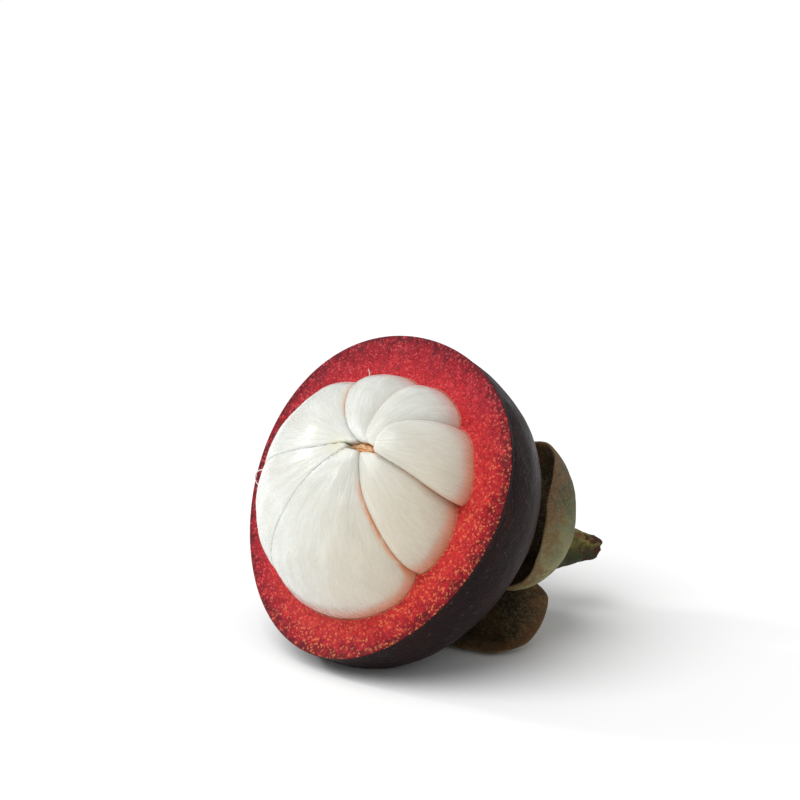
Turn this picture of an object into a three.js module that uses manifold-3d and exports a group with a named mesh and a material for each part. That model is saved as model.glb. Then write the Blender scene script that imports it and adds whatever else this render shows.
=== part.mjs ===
// A mangosteen opened for eating: the rind is cut round its middle and one half is lifted off, so the
// whole ball of white flesh segments stands out of the other half. Four thick sepals and a stub of stem
// are on the closed end. The fruit lies as it settles on a table, leaning back on the belly of its rind
// and on its lowest sepal. Millimetres, +Z up, the table at z = 0, the origin under the fruit's middle.
//
// Every piece is shaped in the fruit's own frame first: the cut lies in its z = 0 plane, round the heart
// of the fruit at (0, 0, 0), +Z points out of the cut, and the stem points along -Z.
import * as THREE from 'three';
import { mergeVertices } from 'three/addons/utils/BufferGeometryUtils.js';
import Module from 'manifold-3d';

// How the fruit lies.
const LEAN = 61.2;         // degrees from a level cut to the way the cut faces now
const TURN = -45;          // degrees about the upright, so the cut faces the front and a little left
const HEART_HEIGHT = 31.9; // from the table to the heart: under the rind's own radius, so it rests on a flat

// The rind.
const RIM_RADIUS = 30.9;   // mean outer radius of the cut
const RIM_LOBES = 3;       // the fruit isn't quite round: soft corners round the cut
const RIM_LOBE_SIZE = 0.8;
const RIM_LOBE_AT = 26;    // degrees round the cut, to the first soft corner
const RIND_DEPTH = 27;     // from the cut to the stem end
const RIND_SQUARENESS = 2.2;
const BELLY_SWELL = 2.5;   // how far the side that it lies on bulges past the rim
const BELLY_SWELL_AT = 0.36; // the swell's widest place, as a share of the way from rim to stem end
const BELLY_AT = -100;     // and its angle round the fruit

// The ball of flesh. Its segments meet at a hub that is off the middle.
const BALL = { x: 0, y: -1.15, across: 22.2, along: 22.7, height: 17.6 };
const HUB = { x: 8.1, y: 5.8 };
const GROOVE_DEPTH = 2.6;  // how far the creases sink below the ball
const GROOVE_WIDTH = 6;    // how far from a crease its rounding starts
const INNER_EDGE = 0.5;    // rounding where a segment's two flat sides meet
const GAP = 0.3;           // between neighbouring pieces

// A crease leaves the hub at one angle and bends to another farther out, by CREASE_FADE millimetres.
const CREASE_FADE = 10;
const CREASES = [
  { near: -82, far: -62 },
  { near: 0, far: -19 },
  { near: 62, far: 62 },
  { near: 118, far: 111 },
  { near: 162, far: 143 },
  { near: 190, far: 198 },
  { near: 222, far: 233 },
];
// How much each segment stands out past the ball, counted from the crease that it starts at.
const PLUMPNESS = [0.2, 1.4, 0.2, 0.2, 0.1, 0.7, 0.7];

// The sepals are cupped blades, each at its own angle round the stem: an inner pair and, farther from
// the rind, an outer pair. A blade runs flat from its middle and then curls up on a radius, by an angle
// in radians, and goes on straight to its edge.
const TIP_CURL = { flat: 6.4, radius: 5, angle: 1.6 };
const DRAPED_TIP_CURL = { flat: 8, radius: 10, angle: 1.0 };
const ROOT_CURL = { flat: 1, radius: 14, angle: 0.5 };
const SIDE_CURL = { flat: 5, radius: 12, angle: 0.9 };
const DEEP_SIDE_CURL = { flat: 7, radius: 6.5, angle: 1.5 };
const SLIGHT_CURL = { flat: 9, radius: 12, angle: 0.5 };
const REFLEXED_SIDE_CURL = { flat: 5, radius: 12, angle: -0.8 };
const SEPALS = [
  {
    name: 'sepal_right', at: 19, level: -30.8, length: 21, width: 17.5, roundness: 2.2,
    tip: TIP_CURL, sides: [DEEP_SIDE_CURL, SIDE_CURL],
  },
  {
    name: 'sepal_top', at: 119, level: -33.8, length: 17, width: 14.5, roundness: 2.2,
    tip: TIP_CURL, sides: [SLIGHT_CURL, SLIGHT_CURL],
  },
  {
    name: 'sepal_left', at: 213, level: -31.2, length: 20, width: 16.5, roundness: 2.2,
    tip: TIP_CURL, sides: [SIDE_CURL, SIDE_CURL],
  },
  {
    name: 'sepal_bottom', at: -65, level: -31.7, length: 16.6, width: 15.8, roundness: 1.75,
    tip: DRAPED_TIP_CURL, sides: [REFLEXED_SIDE_CURL, REFLEXED_SIDE_CURL],
  },
];
const SEPAL_MIDDLE = 14.5; // from the stem's axis to the middle of a blade
const SEPAL_ROOT = 5.6;    // from the stem's axis to the blade's root
const SEPAL_THICKNESS = 2.2;
const PRESS_SOFTNESS = 1;  // how softly a blade bends where the table presses it
const PRESS_DEPTH = 0.35;  // and how much of it the table then flattens

// The stub of stem.
const STEM_TOP = -27.4;    // just clear of the rind
const STEM_END = -52;
const STEM_RADII = [5.2, 5.3, 5.2, 5.2, 5.6, 6.2, 6.4, 5.8, 4.7, 3.5, 2.7]; // from the fruit to the dry end
const STEM_BEND = { x: 13, y: 6 }; // how far its dry end is off the fruit's axis

const { degToRad, lerp, clamp } = THREE.MathUtils;
const wasm = await Module();
wasm.setup();

// Solids ----------------------------------------------------------------------------------------

function bare(geometry) {
  geometry.deleteAttribute('normal');
  geometry.deleteAttribute('uv');
  return mergeVertices(geometry, 1e-4);
}

// A closed three.js geometry with each vertex moved to where place says.
function shaped(geometry, place) {
  const plain = bare(geometry);
  const position = plain.getAttribute('position');
  const point = new THREE.Vector3();
  for (let i = 0; i < position.count; i++) {
    point.fromBufferAttribute(position, i);
    const moved = place(point.clone());
    position.setXYZ(i, moved.x, moved.y, moved.z);
  }
  return plain;
}

function solid(geometry) {
  return new wasm.Manifold(new wasm.Mesh({
    numProp: 3,
    vertProperties: geometry.getAttribute('position').array,
    triVerts: new Uint32Array(geometry.index.array),
  }));
}

function geometryOf(manifold) {
  const mesh = manifold.getMesh();
  return new THREE.BufferGeometry()
    .setAttribute('position', new THREE.BufferAttribute(mesh.vertProperties, 3))
    .setIndex(new THREE.BufferAttribute(mesh.triVerts, 1));
}

// The fruit as it lies: the matrix from its own frame to the table's.
const lying = new THREE.Matrix4()
  .makeTranslation(0, 0, HEART_HEIGHT)
  .multiply(new THREE.Matrix4().makeRotationZ(degToRad(TURN)))
  .multiply(new THREE.Matrix4().makeRotationX(degToRad(LEAN)));

const rising = lying.clone().invert();

const table = solid(bare(
  new THREE.BoxGeometry(120, 120, 20).translate(0, 0, -10).applyMatrix4(rising),
));

// How the table bends a blade of so much half thickness: what would be under it is lifted along it.
function pressed(point, halfThickness) {
  const world = point.clone().applyMatrix4(lying);
  const under = halfThickness - world.z;
  world.z += (under + Math.hypot(under, PRESS_SOFTNESS)) / 2;
  return world.applyMatrix4(rising);
}

// A piece that the fruit rests on, with the small flat that the table presses into it.
function rested(geometry) {
  return geometryOf(solid(geometry).subtract(table));
}

// Flesh -----------------------------------------------------------------------------------------

// Signed distance to the crease's wall, above 0 on the side that angles grow towards.
function pastCrease(crease, point) {
  const dx = point.x - HUB.x;
  const dy = point.y - HUB.y;
  const away = Math.hypot(dx, dy);
  const bent = lerp(crease.far, crease.near, Math.exp(-((away / CREASE_FADE) ** 2)));
  const angle = Math.atan2(dy, dx) - degToRad(bent);
  const turned = Math.atan2(Math.sin(angle), Math.cos(angle));
  return away * Math.sin(clamp(turned, -Math.PI / 2, Math.PI / 2));
}

// Signed distance to the ball as segment number i fills it out.
function pastBall(i, point) {
  const across = BALL.across + PLUMPNESS[i];
  const along = BALL.along + PLUMPNESS[i];
  const height = BALL.height + PLUMPNESS[i];
  const share = Math.hypot((point.x - BALL.x) / across, (point.y - BALL.y) / along, point.z / height);
  return (share - 1) * across;
}

// Signed distance to the two walls of segment number i, with a small round where they meet.
function pastWalls(i, point, clearance) {
  const start = clearance + INNER_EDGE - pastCrease(CREASES[i], point);
  const end = clearance + INNER_EDGE + pastCrease(CREASES[(i + 1) % CREASES.length], point);
  return Math.hypot(Math.max(start, 0), Math.max(end, 0)) + Math.min(Math.max(start, end), 0) - INNER_EDGE;
}

// Below 0 inside segment number i: the ball between two creases, rounded towards them.
function segmentField(i, point, clearance) {
  const up = pastBall(i, point) / GROOVE_DEPTH + 1;
  const across = pastWalls(i, point, clearance) / GROOVE_WIDTH + 1;
  return Math.hypot(Math.max(up, 0), Math.max(across, 0)) - 1 + Math.min(Math.max(up, across), 0);
}

// How far from start along heading the field turns from inside to outside, looking from far to near.
function reach(field, start, heading, far) {
  const at = (distance) => field(start.clone().addScaledVector(heading, distance));
  const STEPS = 60;
  let outside = far;
  while (outside > 0 && at(outside) > 0) outside -= far / STEPS;
  let inside = outside;
  outside += far / STEPS;
  for (let k = 0; k < 24; k++) {
    const middle = (inside + outside) / 2;
    if (at(middle) > 0) outside = middle;
    else inside = middle;
  }
  return inside;
}

// The middle of a segment, which all of its surface can be seen from.
function segmentMiddle(i) {
  const next = CREASES[(i + 1) % CREASES.length].far;
  const start = CREASES[i].far;
  const angle = degToRad((start + (next < start ? next + 360 : next)) / 2);
  const ballEdge = new THREE.Vector3(BALL.x - HUB.x, BALL.y - HUB.y, 0);
  const heading = new THREE.Vector3(Math.cos(angle), Math.sin(angle), 0);
  const out = 0.55 * (BALL.across + ballEdge.dot(heading));
  return new THREE.Vector3(HUB.x, HUB.y, -1).addScaledVector(heading, out);
}

function segment(i) {
  const middle = segmentMiddle(i);
  const field = (p) => segmentField(i, p, GAP / 2);
  return shaped(new THREE.IcosahedronGeometry(1, 4), (heading) => {
    heading.normalize();
    return middle.clone().addScaledVector(heading, reach(field, middle, heading, 45));
  });
}

// Rind ------------------------------------------------------------------------------------------

// The skin at an angle round the axis and a share of the way from the rim (0) to the stem end (1).
function skin(angle, share) {
  const along = share * Math.PI / 2;
  const round = (x) => Math.max(x, 0) ** (2 / RIND_SQUARENESS);
  const rim = RIM_RADIUS + RIM_LOBE_SIZE * Math.cos(RIM_LOBES * (angle - degToRad(RIM_LOBE_AT)));
  const belly = (1 + Math.cos(angle - degToRad(BELLY_AT))) / 2;
  const swell = BELLY_SWELL * belly * Math.exp(-(((share - BELLY_SWELL_AT) / 0.3) ** 2));
  const radius = rim * round(Math.cos(along)) + swell;
  return new THREE.Vector3(radius * Math.cos(angle), radius * Math.sin(angle),
    -RIND_DEPTH * round(Math.sin(along)));
}

// The wall of the hollow that the flesh sits in, from the rim (0) down to its floor (1).
function hollow(angle, share) {
  const start = new THREE.Vector3(BALL.x, BALL.y, 0);
  const down = share * Math.PI / 2;
  const heading = new THREE.Vector3(
    Math.cos(angle) * Math.cos(down), Math.sin(angle) * Math.cos(down), -Math.sin(down));
  const flesh = (p) => {
    const nearest = CREASES.map((_, i) => pastWalls(i, p, 0));
    return pastBall(nearest.indexOf(Math.min(...nearest)), p);
  };
  return start.clone().addScaledVector(heading, reach(flesh, start, heading, 30) + GAP);
}

function rind() {
  const SKIN_STEPS = 12;
  const CUT_STEPS = 2;
  const HOLLOW_STEPS = 9;
  const ROUND_STEPS = 56;
  // Rows from the stem end over the skin, across the cut and down the hollow, as functions of the angle.
  const rows = [];
  for (let k = SKIN_STEPS; k >= 0; k--) rows.push((angle) => skin(angle, k / SKIN_STEPS));
  for (let k = 1; k < CUT_STEPS; k++) {
    rows.push((angle) => skin(angle, 0).lerp(hollow(angle, 0), k / CUT_STEPS));
  }
  for (let k = 0; k <= HOLLOW_STEPS; k++) rows.push((angle) => hollow(angle, k / HOLLOW_STEPS));
  // The lathe gives the closed net of faces: its first and last rows are points on the axis.
  const net = rows.map((_, k) => new THREE.Vector2(
    k === 0 || k === rows.length - 1 ? 0 : 10, k));
  return shaped(new THREE.LatheGeometry(net, ROUND_STEPS), (vertex) => {
    const angle = Math.atan2(-vertex.z, vertex.x);
    return rows[Math.round(vertex.y)](angle);
  });
}

// Calyx and stem --------------------------------------------------------------------------------

// Where a blade is after running a distance out from its middle: how far away, how high and how steep.
// An angle below 0 curls it away from the rind.
function curled(distance, { flat, radius, angle }) {
  const turn = clamp((distance - flat) / radius, 0, Math.abs(angle));
  const rest = Math.max(distance - flat - radius * Math.abs(angle), 0);
  const way = Math.sign(angle);
  return {
    away: Math.min(distance, flat) + radius * Math.sin(turn) + rest * Math.cos(turn),
    rise: way * (radius * (1 - Math.cos(turn)) + rest * Math.sin(turn)),
    steep: way * turn,
  };
}

function blend(one, other, share) {
  return {
    flat: lerp(one.flat, other.flat, share),
    radius: lerp(one.radius, other.radius, share),
    angle: lerp(one.angle, other.angle, share),
  };
}

// A flat pebble, bent into a cup: x runs across the blade and y from its root to its tip.
function sepal({ at, level, length, width, roundness, tip, sides }) {
  const rootLength = SEPAL_MIDDLE - SEPAL_ROOT;
  return shaped(new THREE.SphereGeometry(1, 28, 16).rotateX(Math.PI / 2), (p) => {
    const heading = Math.atan2(p.y, p.x);
    const tipward = Math.sin(heading);
    const sideways = Math.cos(heading);
    const reachOut = tipward > 0 ? length : rootLength;
    const power = tipward > 0 ? roundness : 1.5;
    const edge = (Math.abs(sideways / width) ** power
      + Math.abs(tipward / reachOut) ** power) ** (-1 / power);
    const side = sides[sideways > 0 ? 0 : 1];
    const curl = blend(tipward > 0 ? tip : ROOT_CURL, side, sideways ** 2);
    const { away, rise, steep } = curled(Math.hypot(p.x, p.y) * edge, curl);
    const thickness = SEPAL_THICKNESS / 2 * Math.sign(p.z) * Math.abs(p.z) ** 0.6;
    const up = new THREE.Vector3(
      -sideways * Math.sin(steep), -tipward * Math.sin(steep), Math.cos(steep));
    const middle = new THREE.Vector3(sideways * away, SEPAL_MIDDLE + tipward * away, level + rise);
    const round = new THREE.Matrix4().makeRotationZ(degToRad(at - 90));
    return pressed(middle.applyMatrix4(round), SEPAL_THICKNESS / 2 - PRESS_DEPTH)
      .addScaledVector(up.applyMatrix4(round), thickness);
  });
}

function stem() {
  const length = STEM_TOP - STEM_END;
  const profile = STEM_RADII.map((radius, k) => new THREE.Vector2(
    radius, STEM_TOP - length * k / (STEM_RADII.length - 1)));
  const ends = [new THREE.Vector2(0, STEM_END), new THREE.Vector2(0, STEM_TOP)];
  const lathe = new THREE.LatheGeometry([ends[0], ...profile.reverse(), ends[1]], 16).rotateX(Math.PI / 2);
  return shaped(lathe, (p) => {
    const share = clamp((STEM_TOP - p.z) / length, 0, 1) ** 1.8;
    return p.add(new THREE.Vector3(STEM_BEND.x * share, STEM_BEND.y * share, 0));
  });
}

// The fruit -------------------------------------------------------------------------------------

const RIND_LOOK = { color: 0x2a1218, roughness: 0.45, metalness: 0 };
const FLESH_LOOK = { color: 0xf1efe6, roughness: 0.35, metalness: 0 };
const SEPAL_LOOK = { color: 0x6f6b3c, roughness: 0.7, metalness: 0 };
const STEM_LOOK = { color: 0x5d6a33, roughness: 0.75, metalness: 0 };

const fruit = new THREE.Group();

function add(name, geometry, look) {
  const mesh = new THREE.Mesh(geometry, new THREE.MeshStandardMaterial(look));
  mesh.name = name;
  fruit.add(mesh);
}

add('rind', rested(rind()), RIND_LOOK);
CREASES.forEach((_, i) => add(`segment_${i + 1}`, segment(i), FLESH_LOOK));
SEPALS.forEach((blade) => add(blade.name, rested(sepal(blade)), SEPAL_LOOK));
add('stem', stem(), STEM_LOOK);
fruit.applyMatrix4(lying);

const mangosteen = new THREE.Group();
mangosteen.add(fruit);
const box = new THREE.Box3().setFromObject(mangosteen, true);
const middle = box.getCenter(new THREE.Vector3());
fruit.position.x -= middle.x;
fruit.position.y -= middle.y;

export default mangosteen;
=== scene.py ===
# %% [markdown]
# # A mangosteen, opened for eating
# The rind is cut round its middle and one half is lifted off, so the whole ball of white flesh
# stands out of the other half. Four thick sepals and a stub of stem are on the closed end, and the
# fruit leans back on the belly of its rind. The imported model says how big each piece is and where
# it lies. This lesson makes the fine shapes and the finishes, one piece at a time.

from math import asin, cos, pi, radians, sin

import bmesh
import bpy
import numpy as np
from mathutils import Matrix, Vector, noise


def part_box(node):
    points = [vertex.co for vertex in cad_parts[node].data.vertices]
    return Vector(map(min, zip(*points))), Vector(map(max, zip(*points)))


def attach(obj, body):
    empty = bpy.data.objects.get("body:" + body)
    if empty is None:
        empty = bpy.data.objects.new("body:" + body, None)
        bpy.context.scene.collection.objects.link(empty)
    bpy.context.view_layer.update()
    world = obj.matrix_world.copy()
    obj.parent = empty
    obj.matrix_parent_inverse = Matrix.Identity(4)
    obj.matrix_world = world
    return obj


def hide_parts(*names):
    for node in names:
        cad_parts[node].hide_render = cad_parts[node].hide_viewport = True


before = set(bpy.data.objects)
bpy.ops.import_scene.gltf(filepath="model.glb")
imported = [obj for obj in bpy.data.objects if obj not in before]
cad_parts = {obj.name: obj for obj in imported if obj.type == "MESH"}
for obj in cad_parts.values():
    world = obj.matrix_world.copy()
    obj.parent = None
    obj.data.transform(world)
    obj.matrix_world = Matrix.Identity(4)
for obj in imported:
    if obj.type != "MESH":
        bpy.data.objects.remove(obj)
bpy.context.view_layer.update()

# %% [markdown]
# ## How the fruit lies
# Blender measures in metres, but a fruit is easier to think about in millimetres. Every piece is
# shaped in the fruit's own frame, in millimetres: the cut lies in its z = 0 plane round the heart
# of the fruit, +z points out of the cut, and the stem points along -z. A last step leans that
# frame back and puts it on the table, so no formula here has to know how the fruit lies.

# %% The fruit's frame
MM = 0.001
LEAN = radians(61.2)
TURN = radians(-45)
HEART_HEIGHT = 31.9

turned = Matrix.Rotation(TURN, 3, "Z") @ Matrix.Rotation(LEAN, 3, "X")
AXES = np.array(turned)              # its columns are the fruit's own x, y and z, seen from the table


def unit(angle):
    """The direction of an angle round the fruit's axis, in the plane of the cut."""
    return np.stack([np.cos(angle), np.sin(angle), np.zeros_like(angle)], axis=-1)


# %% [markdown]
# ## The skin as a formula
# The rind is nearly a bowl: a rim with three soft corners, sides a little squarer than a circle,
# and a swell on the side that it lies on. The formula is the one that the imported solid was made
# from, so the fine skin falls where the plain one was. Here it is written for whole arrays of
# angles at once, because numpy moves eighty thousand points as easily as one.

# %% The skin
RIM_RADIUS = 30.9
RIM_LOBES = 3
RIM_LOBE_SIZE = 0.8
RIM_LOBE_AT = radians(26)
RIND_DEPTH = 27
RIND_SQUARENESS = 2.2
BELLY_SWELL = 2.5
BELLY_SWELL_AT = 0.36
BELLY_SWELL_WIDTH = 0.3
BELLY_AT = radians(-100)
SKIN_INSET = 0.06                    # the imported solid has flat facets, and the round skin stays under them


def skin(angle, share):
    """The skin at an angle round the axis, a share of the way from the rim (0) to the stem end (1)."""
    along = share * pi / 2
    rim = RIM_RADIUS - SKIN_INSET + RIM_LOBE_SIZE * np.cos(RIM_LOBES * (angle - RIM_LOBE_AT))
    belly = (1 + np.cos(angle - BELLY_AT)) / 2
    swell = BELLY_SWELL * belly * np.exp(-((share - BELLY_SWELL_AT) / BELLY_SWELL_WIDTH) ** 2)
    radius = rim * np.cos(along).clip(0) ** (2 / RIND_SQUARENESS) + swell
    depth = RIND_DEPTH * np.sin(along).clip(0) ** (2 / RIND_SQUARENESS)
    return unit(angle) * radius[:, None] - np.array([0, 0, 1]) * depth[:, None]


# %% [markdown]
# The heart's height is known, but its place on the table isn't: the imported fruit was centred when
# it was done. The rind's own box gives it back. The formula's box round a heart at zero and the
# packed box are the same box in two places, so the step between their middles is the heart.

# %% Where the heart is
every_angle, every_share = (grid.ravel() for grid in np.meshgrid(
    np.linspace(-pi, pi, 241), np.linspace(0, 1, 61)))
around_heart = skin(every_angle, every_share) @ AXES.T
rind_low, rind_high = (np.array(corner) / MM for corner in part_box("rind"))
HEART = (rind_low + rind_high - around_heart.min(axis=0) - around_heart.max(axis=0)) / 2
HEART[2] = HEART_HEIGHT
print("the heart is at", HEART.round(3), "mm")


def on_table(points):
    """Points of the fruit's frame, moved to the table's."""
    return points @ AXES.T + HEART


def in_fruit(points):
    """Points of the table's frame, moved to the fruit's."""
    return (points - HEART) @ AXES


# %% [markdown]
# ## The ball of flesh as a formula
# The flesh is a ball of seven segments. Their inner ends don't meet in a point: they stand round a
# narrow slit, where the fruit's core was. A crease runs out from the slit between two neighbours. It
# leaves at one angle and bends to another farther out. Ripe segments press on each other unevenly:
# one laps over its neighbour and drops into the crease like the side of a cushion, while the
# neighbour slopes down gently and slides under it. So each side of a crease has a depth that it
# sinks by, a width that it does so over, and a roundness, 1 for a cushion and 0 for a slope.

# %% The ball and its creases
BALL_MIDDLE = np.array([0, -1.15, 0])
BALL_RADII = np.array([22.2, 22.7, 17.6])
HUB = np.array([8.1, 5.8, 0])
PLUMPNESS = [0.2, 1.7, 1.1, 0.2, 0.7, 0.7, 0.7]

# For each crease: where it starts, its angle there, its angle far out, and how far it takes to turn.
# Then the side of the segment that it ends and the side of the one that it starts, and how far out
# the two are still grown together.
CREASES = [
    ((8.6, 4.7), (-80, -62, 9), (2.5, 9.0, 0.1), (2.4, 3.8, 1.0), 0),
    ((11.7, 5.4), (-12, -22, 8), (2.2, 6.5, 0.3), (2.4, 3.6, 1.0), 0),
    ((11.4, 6.2), (104, 53, 8), (1.6, 3.4, 0.7), (1.6, 3.4, 0.7), 8),
    ((9.2, 6.7), (120, 109, 8), (2.2, 4.2, 1.0), (2.0, 5.5, 0.2), 0),
    ((7.4, 6.3), (156, 141, 10), (1.6, 4.4, 0.9), (1.7, 6.5, 0.1), 0),
    ((5.6, 5.4), (203, 198, 12), (0.5, 8.0, 0.0), (0.5, 8.0, 0.0), 12),
    ((6.2, 4.5), (230, 237, 12), (0.4, 8.0, 0.0), (0.4, 8.0, 0.0), 13),
]
RIM_GROOVE = (2.6, 6.0, 1.0)         # at the cut every crease is as deep as this
RIM_GROOVE_HEIGHT = 4.5              # and it changes over this height above the cut
HUB_GROOVE = (0.4, 2.6, 0.8)         # the ends that stand round the slit are shallow and close
HUB_GROOVE_REACH = 3.6
SHALLOWEST_GROOVE = 0.12             # as a share of a groove's depth
INNER_EDGE = 0.6                     # radius of the round where two walls of a segment meet
CREASE_OVERLAP = 0.06                # neighbours press into each other, so no gap shows between them
SHARING = 2.5                        # how softly one side's shape hands over to the other's
print(len(CREASES), "segments stand round the slit")

# %% How far a point is from a segment's walls
def following(number):
    """The next crease round the slit, which is the end of this segment."""
    return (number + 1) % len(CREASES)


def past_crease(number, points):
    """Signed distance to a crease's wall, above 0 on the side that angles grow towards."""
    start, (near, far, fade) = CREASES[number][:2]
    across, along = (points[:, :2] - start).T
    away = np.hypot(across, along)
    bent = far + (near - far) * np.exp(-(away / fade) ** 2)
    angle = np.arctan2(along, across) - np.radians(bent)
    turned_by = np.arctan2(np.sin(angle), np.cos(angle)).clip(-pi / 2, pi / 2)
    return away * np.sin(turned_by)


def past_slit(number, points):
    """Signed distance past a segment's inner end, which stands at the slit between its creases."""
    start, end = np.array(CREASES[number][0]), np.array(CREASES[following(number)][0])
    ahead = (end - start) / np.linalg.norm(end - start)
    return (points[:, :2] - start) @ np.array([-ahead[1], ahead[0]])


def past_ball(number, points):
    """Signed distance to the ball as this segment fills it out."""
    radii = BALL_RADII + PLUMPNESS[number]
    return (np.linalg.norm((points - BALL_MIDDLE) / radii, axis=1) - 1) * radii[0]


def past_walls(number, points, clearance):
    """Signed distance to this segment's walls, with small rounds where they meet."""
    walls = clearance + INNER_EDGE + np.array([
        -past_crease(number, points), past_crease(following(number), points), past_slit(number, points)])
    return np.linalg.norm(walls.clip(0), axis=0) + walls.max(axis=0).clip(None, 0) - INNER_EDGE


# %% A segment's formula
def opened(number, points):
    """0 where a crease's two sides are still grown together, 1 where they are two."""
    start, joined = CREASES[number][0], CREASES[number][4]
    away = np.linalg.norm(points[:, :2] - start, axis=1)
    return 1 - np.exp(-(away / joined) ** 2) if joined else np.ones(len(points))


def groove(number, points):
    """How deep, wide and round the nearer crease of this segment is at each point."""
    starts, ends = CREASES[number][3], CREASES[following(number)][2]
    lean = (past_crease(number, points) + past_crease(following(number), points)) / SHARING
    share = 1 / (1 + np.exp(-lean.clip(-30, 30)))
    rim = np.exp(-(points[:, 2] / RIM_GROOVE_HEIGHT) ** 2)
    hub = np.exp(-(past_slit(number, points) / HUB_GROOVE_REACH) ** 2)
    blended = []
    for start, end, at_rim, at_hub in zip(starts, ends, RIM_GROOVE, HUB_GROOVE):
        side = start + (end - start) * share
        side = side + (at_hub - side) * hub
        blended.append(side + (at_rim - side) * rim)
    joined = opened(number, points) * (1 - share) + opened(following(number), points) * share
    blended[0] = blended[0] * joined.clip(SHALLOWEST_GROOVE)
    return blended


def segment_field(number, points, clearance):
    """Below 0 inside a segment: the ball between two creases, sinking towards them."""
    depth, width, roundness = groove(number, points)
    up = past_ball(number, points) / depth
    walls = past_walls(number, points, clearance) / width
    across = (walls + 1).clip(0)
    cushion = np.hypot((up + 1).clip(0), across) - 1 + np.maximum(up + 1, walls + 1).clip(None, 0)
    slope = up + across ** 2
    return np.maximum(slope + (cushion - slope) * roundness, walls)


over_heart = np.array([[0.0, 0.0, 12.0], [0.0, 0.0, 30.0]])
print("12 and 30 mm over the heart, the sixth segment's formula:", segment_field(5, over_heart, 0).round(1))

# %% [markdown]
# A formula that is below 0 inside and above 0 outside can place points: from somewhere inside, go
# far out along a heading, come back in steps until the formula says inside, then halve the last
# step again and again. Every point of a mesh does that at the same time.

# %% Finding a surface along a heading
FARTHEST = 28                        # outside the flesh from anywhere in it
COMING_IN_STEP = 0.8
HALVINGS = 14


def reach(field, start, heading, far):
    """How far from start along each heading the field turns from inside to outside."""
    inside = np.full(len(heading), float(far))
    coming = np.arange(len(heading))     # the points that are still outside
    while len(coming):
        clear = field(start + heading[coming] * inside[coming, None]) > 0
        coming = coming[clear & (inside[coming] > COMING_IN_STEP)]
        inside[coming] -= COMING_IN_STEP
    outside = inside + COMING_IN_STEP
    for _ in range(HALVINGS):
        middle = (inside + outside) / 2
        clear = field(start + heading * middle[:, None]) > 0
        inside, outside = np.where(clear, inside, middle), np.where(clear, middle, outside)
    return inside


def all_flesh(points):
    """Below 0 inside any segment, with the thin walls between them filled."""
    return np.min([segment_field(number, points, -CREASE_OVERLAP)
                   for number in range(len(CREASES))], axis=0)


def wander(points, size, start=0.0, octaves=2):
    """Smooth unevenness, from about -1 to 1, with bumps of about this size in millimetres."""
    shift = Vector((start, -start, 2 * start))
    return np.array([noise.fractal(Vector(p) / size + shift, 1.0, 2.0, octaves) for p in points])


# %% [markdown]
# ## From a plain net to a finished piece
# Blender's own operators make the nets here: a sphere, or a line of points spun round an axis.
# Then every vertex moves to where a formula puts it. The same last steps serve each piece: points
# that fall below the table flatten onto it, as a soft fruit does under its own weight, the piece
# gets its finish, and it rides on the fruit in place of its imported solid.

# %% Helpers that finish a piece
FLATTEST = 0.02                      # millimetres over the table that a pressed face stays


def points_of(shape):
    """The bmesh's vertices as an array."""
    return np.array([vertex.co for vertex in shape.verts])


def place(shape, points):
    """Moves each vertex to its own point."""
    for vertex, point in zip(shape.verts, points):
        vertex.co = point


def piece(name, shape, materials, replaces=(), fields=None):
    """Turns a bmesh in the fruit's frame into a piece of the fruit on the table, in metres."""
    points = on_table(points_of(shape))
    points[:, 2] = points[:, 2].clip(FLATTEST)
    place(shape, points * MM)
    bmesh.ops.recalc_face_normals(shape, faces=shape.faces)
    for face in shape.faces:
        face.smooth = True
    mesh = bpy.data.meshes.new(name)
    shape.to_mesh(mesh)
    shape.free()
    for finish in materials:
        mesh.materials.append(finish)
    for label, values in (fields or {}).items():
        kind = "FLOAT_VECTOR" if values.ndim == 2 else "FLOAT"
        layer = mesh.attributes.new(label, kind, "POINT")
        layer.data.foreach_set("vector" if values.ndim == 2 else "value",
                               values.astype(np.float32).ravel())
    made = bpy.data.objects.new(name, mesh)
    bpy.context.scene.collection.objects.link(made)
    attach(made, "root")
    if replaces:
        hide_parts(*replaces)
    print(f"{name}: {len(mesh.vertices)} points, {len(mesh.polygons)} faces")


# %% [markdown]
# ## Building finishes from nodes
# Each finish is a tree of shader nodes round one Principled shader. A few short helpers keep the
# trees readable. The first adds a node with its settings and wires. The second makes a colour from
# the numbers that a painter's palette shows: those follow a curve, and a shader wants them without
# it. The others are the steps that every finish repeats.

# %% Node helpers
def node(tree, kind, settings=None, **inputs):
    """Adds a node. An input is a socket to wire from, or a plain value."""
    made = tree.nodes.new(kind)
    for name, value in (settings or {}).items():
        setattr(made, name, value)
    for name, value in inputs.items():
        socket = made.inputs[int(name[1:]) if name[0] == "_" else name.replace("_", " ")]
        if isinstance(value, bpy.types.NodeSocket):
            tree.links.new(value, socket)
        else:
            socket.default_value = value
    return made


def palette(red, green, blue):
    """A colour from 0 to 255 numbers, as the shader wants it."""
    def straight(value):
        value /= 255
        return value / 12.92 if value <= 0.04045 else ((value + 0.055) / 1.055) ** 2.4
    return (*map(straight, (red, green, blue)), 1.0)


def blend(tree, factor, under, over):
    """One colour over another, as much as the factor says."""
    made = node(tree, "ShaderNodeMix", {"data_type": "RGBA"}, _0=factor, _6=under, _7=over)
    return made.outputs[2]


def reckon(tree, way, one, other):
    """One number from two: ADD, SUBTRACT, MULTIPLY or DIVIDE."""
    return node(tree, "ShaderNodeMath", {"operation": way}, _0=one, _1=other).outputs[0]


def plus(tree, one, other):
    """The sum of two numbers."""
    return reckon(tree, "ADD", one, other)


def times(tree, one, other):
    """The product of two numbers: two masks give the places that are in both."""
    return reckon(tree, "MULTIPLY", one, other)


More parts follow.
